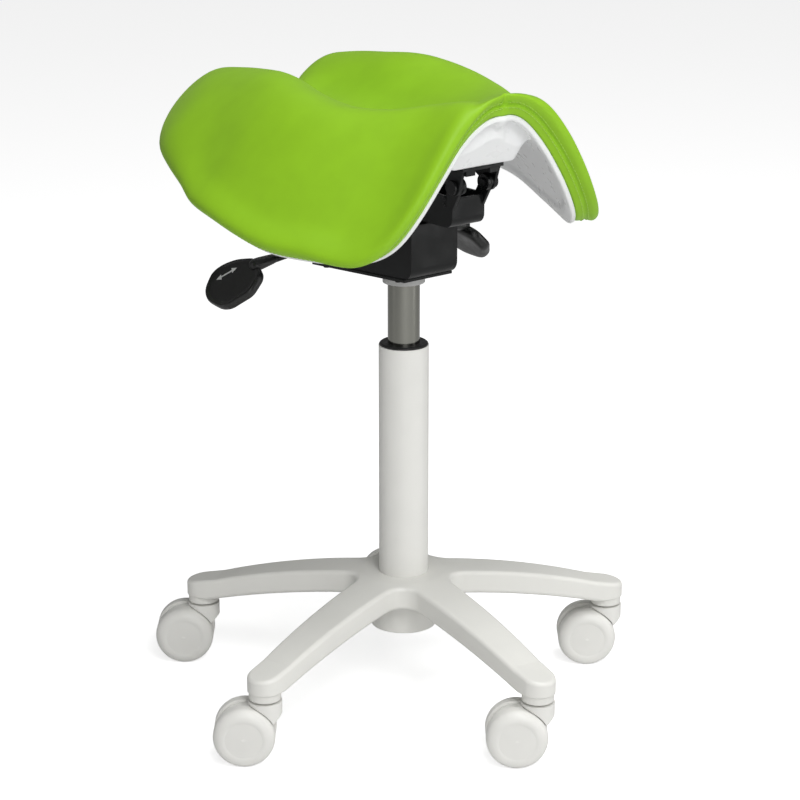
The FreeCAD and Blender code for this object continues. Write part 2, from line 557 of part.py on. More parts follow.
channel = side_slab(channel_profile(0.0), -BRACKET_HALF, 2 * BRACKET_HALF)
channel_room = side_slab(channel_profile(SHEET), -BRACKET_HALF + SHEET, 2 * (BRACKET_HALF - SHEET))
side_line = side_slab([(BRACKET_FRONT + 5, BRACKET_SIDE_TOP), (-20, BRACKET_SIDE_TOP), (BRACKET_REAR, BRACKET_REAR_TOP),
                       (BRACKET_REAR - 10, BRACKET_REAR_TOP), (BRACKET_REAR - 10, 700), (BRACKET_FRONT + 5, 700)], -40, 80)
channel = channel.cut(channel_room).cut(side_line).cut(
    block((-BRACKET_HALF + SHEET, BRACKET_HALF - SHEET), (BRACKET_FRONT - 27, BRACKET_FRONT + 23), (BRACKET_FRONT_TOP, 700)))
pivot_ears = []
ear_profile = [(PIVOT_FORWARD - 20, BRACKET_SIDE_TOP - 8), (BRACKET_FRONT, BRACKET_SIDE_TOP - 12),
               (PIVOT_FORWARD + PIVOT_EAR_RADIUS, PIVOT_UP),
               ((PIVOT_FORWARD, PIVOT_UP + PIVOT_EAR_RADIUS), (PIVOT_FORWARD - PIVOT_EAR_RADIUS, PIVOT_UP))]
for ear in both_sides(side_slab(ear_profile, BRACKET_HALF - SHEET, SHEET)):
    pivot_ears.append(ear)
bracket = fused(channel, *pivot_ears).cut(link_slot)
pivot_hole = cross_pin(PIVOT_BOLT_RADIUS + SEATED, (-60, 60), PIVOT_FORWARD, PIVOT_UP)
rivet_heights = (BRACKET_BOTTOM + 22.0, BRACKET_BOTTOM + 28.0)
save("tilt_bracket", bracket.cut(pivot_hole))
rivets = []
for up in rivet_heights:
    dome = cross_pin(RIVET_RADIUS, (BRACKET_HALF, BRACKET_HALF + 1.2), RIVET_FORWARD, up)
    rivets += both_sides(dome.makeChamfer(0.6, [dome.Edges[0]]))
save("bracket_rivets", *rivets)

# Pivot bolts: a head outside the seat's lug and a collar nut inside the bracket's ear
lug_inner = BRACKET_HALF + APART
lug_outer = lug_inner + LUG_THICKNESS
bolt = fused(cross_pin(PIVOT_BOLT_RADIUS, (BRACKET_HALF - SHEET - 6, lug_outer + 2), PIVOT_FORWARD, PIVOT_UP),
             cross_pin(PIVOT_EAR_RADIUS - 1.5, (lug_outer + APART, lug_outer + APART + 3.2), PIVOT_FORWARD, PIVOT_UP))
save("pivot_bolts", *both_sides(bolt))
nut_outer = BRACKET_HALF - SHEET - 0.05
nut = cross_pin(PIVOT_EAR_RADIUS - 0.3, (nut_outer - 3.5, nut_outer), PIVOT_FORWARD, PIVOT_UP)
nut = nut.cut(cross_pin(PIVOT_BOLT_RADIUS + SEATED, (0, 60), PIVOT_FORWARD, PIVOT_UP))
save("pivot_nuts", *both_sides(nut))

# Mounting plate with two lugs, and the curved lock link that hangs from it
mount_top = MOUNT_UNDER + MOUNT_THICKNESS
mount = block((-MOUNT_HALF, MOUNT_HALF), (MOUNT_REAR, MOUNT_FRONT - 8), (MOUNT_UNDER, mount_top))
nose = block((-MOUNT_HALF + 7, MOUNT_HALF - 7), (MOUNT_FRONT - 20, MOUNT_FRONT), (MOUNT_UNDER, mount_top))
tabs = both_sides(block((9, 20), (MOUNT_FRONT - 6, MOUNT_FRONT - 1), (MOUNT_UNDER - 5, MOUNT_UNDER + 1)))
lug_profile = [(PIVOT_FORWARD - 34, mount_top - 1), (PIVOT_FORWARD - 34, MOUNT_UNDER - 4),
               (PIVOT_FORWARD - PIVOT_EAR_RADIUS, PIVOT_UP),
               ((PIVOT_FORWARD, PIVOT_UP - PIVOT_EAR_RADIUS), (PIVOT_FORWARD + PIVOT_EAR_RADIUS, PIVOT_UP)),
               (MOUNT_FRONT - 2, MOUNT_UNDER), (MOUNT_FRONT - 2, mount_top - 1)]
lugs = both_sides(side_slab(lug_profile, lug_inner, LUG_THICKNESS))
mount = fused(mount, nose, *(tabs + lugs))
mount = mount.cut(cross_pin(PIVOT_BOLT_RADIUS + RUNNING, (-60, 60), PIVOT_FORWARD, PIVOT_UP))
screw_places = [(left, forward) for forward, left in SCREW_AT] + [(-left, forward) for forward, left in SCREW_AT]
for left, forward in screw_places:
    mount = mount.cut(post(SCREW_RADIUS + SEATED, MOUNT_UNDER - 5, mount_top + 5, left, forward))
save("mounting_plate", mount)

link_radius = math.hypot(PIVOT_FORWARD - CLAMP_FORWARD, PIVOT_UP - CLAMP_UP)
link_angle = math.atan2(CLAMP_UP - PIVOT_UP, CLAMP_FORWARD - PIVOT_FORWARD)


def about_pivot(radius, degrees):
    angle = link_angle + math.radians(degrees)
    return (PIVOT_FORWARD + radius * math.cos(angle), PIVOT_UP + radius * math.sin(angle))


# Seen from the side, a larger angle is further down the link
slot_top = -TILT_BACK_DEG - SLOT_MARGIN_DEG
slot_bottom = TILT_FORWARD_DEG + SLOT_MARGIN_DEG
slot_half = CLAMP_PIN_RADIUS + APART
slot_mid = (slot_top + slot_bottom) / 2
slot = side_slab([about_pivot(link_radius - slot_half, slot_top),
                  (about_pivot(link_radius - slot_half, slot_mid), about_pivot(link_radius - slot_half, slot_bottom)),
                  about_pivot(link_radius + slot_half, slot_bottom),
                  (about_pivot(link_radius + slot_half, slot_mid), about_pivot(link_radius + slot_half, slot_top))],
                 -10, 20)
link_foot = slot_bottom + LINK_FOOT_DEG
link = side_slab([about_pivot(link_radius - LINK_SIDE, link_foot), about_pivot(link_radius + LINK_SIDE, link_foot),
                  (CLAMP_FORWARD - LINK_SIDE - 2, HOUSING_TOP), (CLAMP_FORWARD - LINK_SIDE - 2, MOUNT_UNDER),
                  (CLAMP_FORWARD + LINK_SIDE + 2, MOUNT_UNDER), (CLAMP_FORWARD + LINK_SIDE + 2, HOUSING_TOP)],
                 -LINK_HALF, 2 * LINK_HALF)
save("tilt_lock_link", link.cut(slot))

# Clamp of the tilt lock: pin, friction discs, disc springs and pressure plate
disc_inner = CLAMP_PIN_RADIUS + SEATED


def disc(radius, low, high):
    outer = cross_pin(radius, (low, high), CLAMP_FORWARD, CLAMP_UP)
    return outer.cut(cross_pin(disc_inner, (low - 1, high + 1), CLAMP_FORWARD, CLAMP_UP))


friction_low = LINK_HALF + link_gap
friction = disc(FRICTION_RADIUS, friction_low, friction_low + FRICTION_THICKNESS)
save("friction_discs", *both_sides(friction))
spring_low = friction_low + FRICTION_THICKNESS
spring_height = 1.2
springs = []
for k in range(4):
    low = spring_low + spring_height * k
    cup = Part.makeCone(10, 8, spring_height, at(low, CLAMP_FORWARD, CLAMP_UP), LEFTWARD)
    bore = cross_pin(disc_inner, (low - 1, low + spring_height + 1), CLAMP_FORWARD, CLAMP_UP)
    springs.append(cup.cut(bore))
save("disc_springs", *springs)
pressure_low = spring_low + 4 * spring_height
pressure_high = pressure_low + 2.0
save("pressure_plate", disc(16.0, pressure_low, pressure_high))
pin_head_low = -stack - SHEET
save("clamp_pin", fused(cross_pin(CLAMP_PIN_RADIUS, (pin_head_low - 0.5, pressure_high + 0.1), CLAMP_FORWARD, CLAMP_UP),
                        cross_pin(CLAMP_HEAD_RADIUS, (pin_head_low - 2.0, pin_head_low), CLAMP_FORWARD, CLAMP_UP)))

# Levers.  The left one is made and the right one is its mirror image.
elbow = LEVER_PIVOT_LEFT + 12
inner_end = pressure_high + LEVER_SWING_GAP
rod_start = at(inner_end, LEVER_FORWARD, LEVER_PIVOT_UP)
rod_bend = at(elbow, LEVER_FORWARD, LEVER_PIVOT_UP)
rod_end = at(LEVER_END_LEFT, LEVER_FORWARD, LEVER_END_UP)
slant = (rod_end - rod_bend).normalize()
rod_inner = Part.makeCylinder(LEVER_ROD_RADIUS, elbow - inner_end, rod_start, LEFTWARD)
rod_outer = Part.makeCylinder(LEVER_ROD_RADIUS, (rod_end - rod_bend).Length, rod_bend, slant)
knuckle = Part.makeSphere(LEVER_ROD_RADIUS, rod_bend)
hub_start = at(LEVER_PIVOT_LEFT, LEVER_FORWARD + hub_half, LEVER_PIVOT_UP)
hub = Part.makeCylinder(LEVER_HUB_RADIUS, LEVER_HUB_LENGTH, hub_start, -FORWARD)
hub_bore = Part.makeCylinder(LEVER_PIN_RADIUS + RUNNING, LEVER_HUB_LENGTH + 2, hub_start + FORWARD, -FORWARD)
lever = fused(rod_inner, knuckle, rod_outer, hub).cut(hub_bore)

droop = math.radians(PADDLE_DROOP_DEG)
sweep = math.radians(PADDLE_SWEEP_DEG)
down_out = Vector(math.cos(droop), 0, -math.sin(droop))
paddle_normal = Vector(math.sin(droop), 0, math.cos(droop))
paddle_out = down_out * math.cos(sweep) - FORWARD * math.sin(sweep)
paddle_front = down_out * math.sin(sweep) + FORWARD * math.cos(sweep)
neck = at(LEVER_END_LEFT + 6, LEVER_FORWARD + 2, LEVER_END_UP - 2)


def paddle_layer(shrink, lift):
    middle_out, middle_front = 30.0, -4.0
    corners = []
    for out, front in PADDLE_OUTLINE:
        u = middle_out + (out - middle_out) * shrink
        v = middle_front + (front - middle_front) * shrink
        corners.append(neck + paddle_out * u + paddle_front * v + paddle_normal * lift)
    return Part.makePolygon(corners + [corners[0]])


paddle = Part.makeLoft([paddle_layer(0.8, -PADDLE_DEPTH), paddle_layer(0.97, -0.6 * PADDLE_DEPTH),
                        paddle_layer(1.0, 0.0), paddle_layer(0.92, PADDLE_RISE)], True, True)
dish = Part.makeLoft([paddle_layer(0.72, PADDLE_RISE - 1.6), paddle_layer(0.84, PADDLE_RISE + 1.0)], True, True)
sleeve_start = rod_end - slant * 12
sleeve = Part.makeCone(LEVER_ROD_RADIUS + 2, LEVER_ROD_RADIUS + 3.5, 20, sleeve_start, slant)
rod_room = Part.makeCylinder(LEVER_ROD_RADIUS + SEATED, (rod_end - rod_bend).Length + SEATED, rod_bend, slant)
paddle = fused(paddle.cut(dish), sleeve).cut(rod_room)
save("tilt_lever", lever)
save("tilt_paddle", paddle)
save("height_lever", lever.mirror(FLOOR, LEFTWARD))
save("height_paddle", paddle.mirror(FLOOR, LEFTWARD))

cam_top = LEVER_PIVOT_UP + 1
hub_face = LEVER_PIVOT_LEFT - LEVER_HUB_RADIUS
cam = block((inner_end, hub_face), (LEVER_FORWARD - hub_half, LEVER_FORWARD + hub_half), (LEVER_PIVOT_UP - 14, cam_top))
rod_bore = Part.makeCylinder(LEVER_ROD_RADIUS + SEATED, 20, rod_start - LEFTWARD * 5, LEFTWARD)
save("tilt_cam", cam.cut(rod_bore))

# Release finger: from the right lever's hub round to the top of the valve
finger_low = valve_top + APART
finger_high = finger_low + SHEET
riser = block((-hub_face, -inner_end), (LEVER_FORWARD - hub_half, LEVER_FORWARD + hub_half),
              (LEVER_PIVOT_UP - 8, finger_high))
riser = riser.cut(rod_bore.mirror(FLOOR, LEFTWARD))
along = block((-inner_end - 9, -inner_end), (LEVER_FORWARD - hub_half, VALVE_RADIUS + 2), (finger_low, finger_high))
inward = block((-inner_end - 9, VALVE_RADIUS), (-VALVE_RADIUS - 2, VALVE_RADIUS + 2), (finger_low, finger_high))
save("release_finger", fused(riser, along, inward))


# Seat


def value(table, forward, column):
    """Smooth value of one column of a station table."""
    if forward >= table[0][0]:
        return table[0][column]
    if forward <= table[-1][0]:
        return table[-1][column]
    i = 0
    while table[i + 1][0] > forward:
        i += 1

    def slope(j):
        before, after = max(j - 1, 0), min(j + 1, len(table) - 1)
        return (table[after][column] - table[before][column]) / (table[after][0] - table[before][0])
    span = table[i + 1][0] - table[i][0]
    t = (forward - table[i][0]) / span
    y0, y1 = table[i][column], table[i + 1][column]
    m0, m1 = slope(i) * span, slope(i + 1) * span
    return ((2 * t ** 3 - 3 * t ** 2 + 1) * y0 + (t ** 3 - 2 * t ** 2 + t) * m0
            + (3 * t ** 2 - 2 * t ** 3) * y1 + (t ** 3 - t ** 2) * m1)


def surface(table, forward, left):
    """Height of a saddle surface: a valley, a ridge each side and flanks that curve down."""
    valley, ridge_half, ridge, flank_half, flank, roundness = [value(table, forward, k) for k in range(1, 7)]
    side = abs(left)
    if side <= ridge_half:
        share = (ridge_half - side) / ridge_half
        fall = (ridge - valley) * (0.5 - 0.5 * math.cos(math.pi * share))
    else:
        full = math.hypot(flank_half - ridge_half, roundness) - roundness
        fall = (ridge - flank) * (math.hypot(side - ridge_half, roundness) - roundness) / full
    return mount_top - SEAT_DATUM + ridge - fall


def bowed(start, middle, end):
    """An arc through three points, or a line where they lie straight."""
    rise = (middle - (start + end) * 0.5).Length
    if rise < 0.02:
        return Part.makeLine(start, end)
    return Part.Arc(start, middle, end).toShape()


def surface_arcs(table, forward, half, raised):
    """Arcs across the saddle, from the rider's right to the left."""
    ridge = value(table, forward, 2)
    inner = 0.45 * ridge
    shoulder = ridge + 0.35 * (half - ridge)
    stops = [-half, -(half + shoulder) / 2, -shoulder, -ridge, -inner, 0.0, inner, ridge, shoulder,
             (half + shoulder) / 2, half]
    points = [at(left, forward, surface(table, forward, left) + raised) for left in stops]
    return [bowed(points[k], points[k + 1], points[k + 2]) for k in range(0, 10, 2)]


def seat_slab(low_table, low_raised, high_table, high_raised):
    """A loft between two saddle surfaces."""
    wires = []
    for forward, half in SECTIONS:
        low = surface_arcs(low_table, forward, half, low_raised)
        high = surface_arcs(high_table, forward, half, high_raised)
        left_side = Part.makeLine(low[-1].Vertexes[-1].Point, high[-1].Vertexes[-1].Point)
        right_side = Part.makeLine(high[0].Vertexes[0].Point, low[0].Vertexes[0].Point)
        wires.append(Part.Wire(low + [left_side] + high[::-1] + [right_side]))
    return Part.makeLoft(wires, True, False)


def bulge(forward):
    for (f0, b0), (f1, b1) in zip(PAD_BULGE[:-1], PAD_BULGE[1:]):
        if f0 >= forward >= f1:
            return b0 + (b1 - b0) * (f0 - forward) / (f0 - f1)
    return PAD_BULGE[-1][1]


def rim_column(offset):
    """An upright column on the rim's plan, moved outwards by offset(forward)."""
    half = [(left, forward) for forward, left in RIM]
    loop = half + [(-left, forward) for left, forward in half[-2:0:-1]]
    moved = []
    for k, (left, forward) in enumerate(loop):
        before, after = loop[k - 1], loop[(k + 1) % len(loop)]
        dl, df = after[0] - before[0], after[1] - before[1]
        length = math.hypot(dl, df)
        out = offset(forward)
        moved.append(at(left - out * df / length, forward + out * dl / length, 400))
    curve = Part.BSplineCurve()
    curve.interpolate(moved, PeriodicFlag=True)
    return Part.Face(Part.Wire(curve.toShape())).extrude(UP * 300)


seat_floor = -SHELL_THICKNESS
shell_slab = seat_slab(SHELL_STATIONS, seat_floor, SHELL_STATIONS, 0.0)
shell = shell_slab.common(rim_column(lambda forward: 0.0))
under_shell = seat_slab(SHELL_STATIONS, -60.0, SHELL_STATIONS, seat_floor + 2.0)
shell_bosses = [post(SHELL_BOSS_RADIUS, mount_top, mount_top + 40, left, forward).common(under_shell)
                for left, forward in screw_places]
shell = fused(shell, *shell_bosses)
mount_room = block((-MOUNT_HALF - 3, MOUNT_HALF + 3), (MOUNT_REAR - 3, MOUNT_FRONT + 3), (500, mount_top))
shell = shell.cut(mount_room)
for left, forward in screw_places:
    shell = shell.cut(post(SCREW_RADIUS + SEATED, 500, mount_top + SCREW_DEPTH + 1, left, forward))
save("seat_shell", shell)
seat_screws = []
for left, forward in screw_places:
    shank = post(SCREW_RADIUS, MOUNT_UNDER - 0.5, mount_top + SCREW_DEPTH, left, forward)
    seat_screws.append(shank.fuse(post(5.5, MOUNT_UNDER - 3.5, MOUNT_UNDER, left, forward)))
save("seat_screws", *seat_screws)

pad_slab = seat_slab(SHELL_STATIONS, PAD_GAP, PAD_STATIONS, 0.0)
pad = pad_slab.common(rim_column(bulge))
seam_slab = seat_slab(SHELL_STATIONS, PAD_GAP, SHELL_STATIONS, SEAM_HEIGHT)
seam_inside = rim_column(lambda forward: -SEAM_INSET - SEAM_WIDTH)
seam_room = rim_column(lambda forward: -SEAM_INSET - SEAM_WIDTH - PAD_GAP)
below_seam = seat_slab(SHELL_STATIONS, -60.0, SHELL_STATIONS, SEAM_HEIGHT + PAD_GAP).cut(seam_room)
save("seat_pad", pad.cut(below_seam))
seam = seam_slab.common(rim_column(lambda forward: -SEAM_INSET)).cut(seam_inside)
save("seam_band", seam)
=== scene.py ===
import json
import math

import bmesh
import bpy
import numpy as np
from mathutils import Matrix, Vector


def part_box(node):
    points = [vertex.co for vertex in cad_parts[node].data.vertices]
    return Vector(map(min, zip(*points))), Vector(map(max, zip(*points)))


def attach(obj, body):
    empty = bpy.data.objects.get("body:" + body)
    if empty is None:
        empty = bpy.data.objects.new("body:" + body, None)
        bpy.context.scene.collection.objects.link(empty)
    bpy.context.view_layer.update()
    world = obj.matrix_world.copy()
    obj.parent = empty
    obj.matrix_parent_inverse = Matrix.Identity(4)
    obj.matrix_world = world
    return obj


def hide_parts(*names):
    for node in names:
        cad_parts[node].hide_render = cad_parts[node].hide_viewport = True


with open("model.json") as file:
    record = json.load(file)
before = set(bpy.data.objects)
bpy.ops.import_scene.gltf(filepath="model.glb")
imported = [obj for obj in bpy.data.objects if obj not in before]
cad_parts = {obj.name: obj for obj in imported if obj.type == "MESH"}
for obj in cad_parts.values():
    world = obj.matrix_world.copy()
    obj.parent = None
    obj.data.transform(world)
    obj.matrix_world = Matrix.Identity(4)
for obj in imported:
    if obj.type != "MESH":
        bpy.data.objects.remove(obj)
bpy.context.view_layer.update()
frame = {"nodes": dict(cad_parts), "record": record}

# The saddle stool in metres: the rider faces -Y, the rider's left is +X, +Z is up.
MM = 0.001


# Camera, at the photograph's view

IMAGE_SIZE = 800
FOCAL_PIXELS = 2487.0
CAMERA_DISTANCE = 2.371     # off the column's axis, in plan
CAMERA_HEIGHT = 1.062
CAMERA_TURN_DEG = 39.0      # from straight ahead of the rider to the rider's right
CAMERA_PITCH_DEG = 17.63
CAMERA_YAW_DEG = -0.09
SENSOR = 36.0           # millimetres


def make_camera():
    data = bpy.data.cameras.new("camera")
    data.sensor_width = SENSOR
    data.lens = SENSOR * FOCAL_PIXELS / IMAGE_SIZE
    data.clip_start = 0.05
    data.clip_end = 50.0
    camera = bpy.data.objects.new("camera", data)
    bpy.context.scene.collection.objects.link(camera)
    turn = Matrix.Rotation(math.radians(-CAMERA_TURN_DEG), 3, "Z")
    camera.location = turn @ Vector((0.0, -CAMERA_DISTANCE, CAMERA_HEIGHT))
    yaw, pitch = math.radians(CAMERA_YAW_DEG), math.radians(CAMERA_PITCH_DEG)
    forward = Vector((math.sin(yaw) * math.cos(pitch), math.cos(yaw) * math.cos(pitch), -math.sin(pitch)))
    camera.rotation_mode = "QUATERNION"
    camera.rotation_quaternion = (turn @ forward).to_track_quat("-Z", "Y")
    bpy.context.scene.camera = camera


make_camera()


# Materials

NOISE_LOW = 0.35        # the span of a noise that is spread over a whole ramp
NOISE_HIGH = 0.65
BEVEL_SAMPLES = 4


class Finish:
    """A node material that is built up a step at a time."""

    def __init__(self, name, colour, roughness, **sockets):
        self.material = bpy.data.materials.new(name)
        self.material.use_nodes = True
        self.tree = self.material.node_tree
        self.shader = self.tree.nodes["Principled BSDF"]
        self.place = self.tree.nodes.new("ShaderNodeTexCoord").outputs["Object"]
        self.shader.inputs["Base Color"].default_value = (*colour, 1.0)
        self.shader.inputs["Roughness"].default_value = roughness
        for socket, number in sockets.items():
            self.shader.inputs[socket.replace("_", " ")].default_value = number
        self.colour = colour
        self.roughness = roughness
        self.normal = None

    def node(self, kind, **values):
        """A new node with those inputs or settings."""
        made = self.tree.nodes.new(kind)
        for key, value in values.items():
            if key in made.inputs:
                made.inputs[key].default_value = value
            else:
                setattr(made, key, value)
        return made

    def link(self, start, end):
        self.tree.links.new(start, end)

    def noise(self, scale, detail=3.0, stretch=None):
        """A noise over the object, which `stretch` scales along each of its axes."""
        made = self.node("ShaderNodeTexNoise", Scale=scale, Detail=detail)
        if stretch:
            mapping = self.node("ShaderNodeMapping")
            mapping.inputs["Scale"].default_value = stretch
            self.link(self.place, mapping.inputs["Vector"])
            self.link(mapping.outputs["Vector"], made.inputs["Vector"])
        else:
            self.link(self.place, made.inputs["Vector"])
        return made.outputs["Fac"]

    def ramp(self, source, low, high):
        """Turns a noise into values from low to high."""
        made = self.node("ShaderNodeMapRange")
        made.inputs["From Min"].default_value = NOISE_LOW
        made.inputs["From Max"].default_value = NOISE_HIGH
        made.inputs["To Min"].default_value = low
        made.inputs["To Max"].default_value = high
        self.link(source, made.inputs["Value"])
        return made.outputs["Result"]

    def vary_colour(self, source, amount):
        """Shades the colour up and down by that share."""
        mix = self.node("ShaderNodeMix", data_type="RGBA")
        dark = tuple(c * (1 - amount) for c in self.colour)
        light = tuple(min(1.0, c * (1 + amount)) for c in self.colour)
        mix.inputs["A"].default_value = (*dark, 1.0)
        mix.inputs["B"].default_value = (*light, 1.0)
        self.link(self.ramp(source, 0.0, 1.0), mix.inputs["Factor"])
        self.link(mix.outputs["Result"], self.shader.inputs["Base Color"])

    def vary_roughness(self, source, amount):
        """Moves the roughness up and down by that amount."""
        self.link(self.ramp(source, self.roughness - amount, self.roughness + amount),
                  self.shader.inputs["Roughness"])

    def bump(self, source, distance, strength):
        """Adds relief of that depth over what is there already."""
        made = self.node("ShaderNodeBump", Distance=distance, Strength=strength)
        self.link(source, made.inputs["Height"])
        if self.normal:
            self.link(self.normal, made.inputs["Normal"])
        self.normal = made.outputs["Normal"]
        self.link(self.normal, self.shader.inputs["Normal"])

    def rounded(self, radius):
        """Softens hard edges in the shading."""
        made = self.node("ShaderNodeBevel", samples=BEVEL_SAMPLES)
        made.inputs["Radius"].default_value = radius
        if self.normal:
            self.link(self.normal, made.inputs["Normal"])
        self.normal = made.outputs["Normal"]
        self.link(self.normal, self.shader.inputs["Normal"])


LIME = (0.262, 0.520, 0.012)
LIME_THREAD = (0.36, 0.62, 0.05)
LIME_SHEEN = (0.75, 1.0, 0.35, 1.0)
COOL_WHITE = (0.86, 0.87, 0.87)
WARM_GREY = (0.80, 0.795, 0.755)
WARM_GREY_COLUMN = (0.80, 0.795, 0.76)
COLLAR_GREY = (0.50, 0.50, 0.49)
COAT_BLACK = (0.0045, 0.005, 0.005)
NYLON_BLACK = (0.006, 0.006, 0.006)
LEVER_BLACK = (0.006, 0.0065, 0.006)
STEEL_GREY = (0.42, 0.42, 0.43)
# chrome set far darker than its own reflectance: a painted dark reflection of the surroundings, with the
# strip lamps giving its bright stripes
CHROME_PAINTED_DARK_REFLECTION = (0.24, 0.24, 0.215)
MARK_GREY = (0.80, 0.80, 0.80)
SEAM_SHADE = 0.93


def upholstery():
    """Smooth, slightly stretchy cloth with a fine grain."""
    made = Finish("lime_upholstery", LIME, 0.52, Sheen_Weight=0.12, Sheen_Roughness=0.4)
    made.shader.inputs["Sheen Tint"].default_value = LIME_SHEEN
    made.shader.inputs["Specular IOR Level"].default_value = 0.32
    made.vary_colour(made.noise(38.0, 2.0), 0.025)
    made.bump(made.noise(1500.0, 2.0), 0.00010, 0.35)
    made.bump(made.noise(420.0, 2.0), 0.00016, 0.22)
    return made.material


def seam_cloth():
    """The cloth where it is sewn, a shade darker."""
    made = Finish("lime_seam", tuple(c * SEAM_SHADE for c in LIME), 0.55, Sheen_Weight=0.12)
    made.shader.inputs["Specular IOR Level"].default_value = 0.3
    made.vary_colour(made.noise(60.0, 2.0), 0.03)
    made.bump(made.noise(1500.0, 2.0), 0.00012, 0.4)
    return made.material


def thread():
    made = Finish("lime_thread", LIME_THREAD, 0.6, Sheen_Weight=0.2)
    made.bump(made.noise(4200.0, 1.0, (1.0, 1.0, 3.0)), 0.0001, 0.5)
    return made.material


def white_shell():
    made = Finish("white_shell", COOL_WHITE, 0.32, Coat_Weight=0.25, Coat_Roughness=0.2)
    made.vary_roughness(made.noise(70.0), 0.05)
    made.bump(made.noise(900.0), 0.00006, 0.35)
    made.bump(made.noise(26.0, 2.0), 0.0009, 0.12)
    return made.material


def powder_coat(name, colour, roughness, grain):
    """Paint with a faint orange-peel grain."""
    made = Finish(name, colour, roughness)
    made.vary_colour(made.noise(22.0, 2.0), 0.012)
    made.vary_roughness(made.noise(55.0), 0.05)
    made.bump(made.noise(grain, 2.0), 0.00012, 0.35)
    made.rounded(0.0012)
    return made.material


def moulded(name, colour, roughness, grain, depth):
    """Moulded plastic with a grain of that scale and depth."""
    made = Finish(name, colour, roughness)
    made.vary_colour(made.noise(30.0, 2.0), 0.015)
    made.vary_roughness(made.noise(90.0), 0.06)
    made.bump(made.noise(grain, 3.0), depth, 0.4)
    made.rounded(0.0007)
    return made.material


def black_coat(name, roughness):
    """Black satin coat on steel."""
    made = Finish(name, COAT_BLACK, roughness)
    made.shader.inputs["Specular IOR Level"].default_value = 0.22
    made.vary_roughness(made.noise(45.0), 0.07)
    made.bump(made.noise(1100.0, 2.0), 0.0001, 0.3)
    made.rounded(0.0010)
    return made.material


def metal(name, colour, roughness, stretch):
    """Bare or chromed metal with drawn marks."""
    made = Finish(name, colour, roughness, Metallic=1.0)
    made.vary_roughness(made.noise(260.0, 3.0, stretch), 0.04)
    made.bump(made.noise(700.0, 2.0, stretch), 0.00004, 0.25)
    return made.material


UPHOLSTERY = upholstery()
SEAM = seam_cloth()
THREAD = thread()
SHELL = white_shell()
BASE_COAT = powder_coat("base_coat", WARM_GREY, 0.42, 620.0)
COLUMN_COAT = powder_coat("column_coat", WARM_GREY_COLUMN, 0.40, 700.0)
CASTOR_PLASTIC = moulded("castor_plastic", WARM_GREY_COLUMN, 0.46, 1300.0, 0.00008)
BLACK_NYLON = moulded("black_nylon", NYLON_BLACK, 0.42, 1200.0, 0.00008)
GREY_COLLAR = moulded("grey_collar", COLLAR_GREY, 0.4, 1200.0, 0.00008)
BLACK_STEEL = black_coat("black_steel", 0.36)
BLACK_FASTENER = black_coat("black_fastener", 0.28)
LEVER_PLASTIC = moulded("lever_plastic", LEVER_BLACK, 0.36, 900.0, 0.00014)
BARE_STEEL = metal("bare_steel", STEEL_GREY, 0.32, (1.0, 1.0, 0.2))
# the chrome's dark colour is a painted reflection of dark surroundings, not the metal's own tone
CHROME_WITH_PAINTED_REFLECTION = metal("chrome_tube", CHROME_PAINTED_DARK_REFLECTION, 0.13, (1.0, 1.0, 0.05))
MARK_WHITE = moulded("mark_white", MARK_GREY, 0.5, 1500.0, 0.00005)

# What each slot of the record is painted with
BY_SLOT = {"base_coat": BASE_COAT, "column_coat": COLUMN_COAT, "castor_plastic": CASTOR_PLASTIC,
           "black_nylon": BLACK_NYLON, "bare_steel": BARE_STEEL, "chrome_tube": CHROME_WITH_PAINTED_REFLECTION,
           "grey_collar": GREY_COLLAR, "black_steel": BLACK_STEEL, "black_fastener": BLACK_FASTENER,
           "lever_plastic": LEVER_PLASTIC, "white_shell": SHELL, "green_upholstery": UPHOLSTERY,
           "green_seam": SEAM}


def dress_cad_nodes():
    slots = {part["node"]: part["material_slot"] for part in frame["record"]["subparts"]}
    for name, node in frame["nodes"].items():
        node.data.materials.clear()
        node.data.materials.append(BY_SLOT[slots[name]])


dress_cad_nodes()


# Seat surfaces, in millimetres as (left, forward, up), from the same stations as the CAD seat

# Stations from front to rear: forward, height of the valley, half width and height of the ridges,
# half width and height of the flanks' feet, roundness between ridge and flank
SHELL_STATIONS = (
    (146, 619, 5, 619, 92, 531, 60), (118, 588, 20, 610, 116, 505, 60), (92, 573, 36, 600, 137, 491, 58),
    (50, 572, 50, 597, 161, 489, 54), (14, 572, 60, 598, 176, 493, 60), (-40, 572, 70, 603, 186, 507, 70),
    (-87, 572, 76, 607, 178, 520, 80), (-140, 574, 80, 607, 159, 538, 80), (-175, 574, 82, 600, 141, 549, 70),
    (-205, 570, 84, 580, 118, 555, 60), (-225, 562, 85, 566, 95, 558, 50))
PAD_STATIONS = (
    (160, 629, 39, 631, 112, 545, 45), (130, 629, 34, 633, 126, 521, 40), (100, 621, 42, 628, 147, 506, 44),
    (60, 605, 70, 620, 172, 500, 54), (14, 596, 95, 620, 190, 505, 60), (-40, 589, 98, 629, 198, 522, 70),
    (-87, 593, 86, 636, 188, 545, 80), (-140, 598, 76, 632, 168, 580, 85), (-175, 605, 76, 628, 150, 588, 85),
    (-205, 603, 71, 623, 128, 588, 80), (-235, 596, 68, 615, 100, 584, 60))
# The rim in plan, from the front's middle round to the rear's: forward, left
RIM = ((146, 0), (144.5, 22), (142, 45), (141, 68), (137, 91), (127, 111), (106, 129), (80, 145), (50, 161),
       (15, 176), (-30, 185), (-70, 183), (-105, 172), (-140, 159), (-168, 145), (-190, 124), (-204, 103),
       (-209, 82), (-206, 58), (-197, 36), (-186, 18), (-180, 0))
# How far the pad stands out past the shell: forward, outwards
PAD_BULGE = ((160, 10), (100, 9), (60, 3), (-100, 2), (-150, 4), (-230, 5))
ROUND_STEPS = 6         # points per stretch of the rim


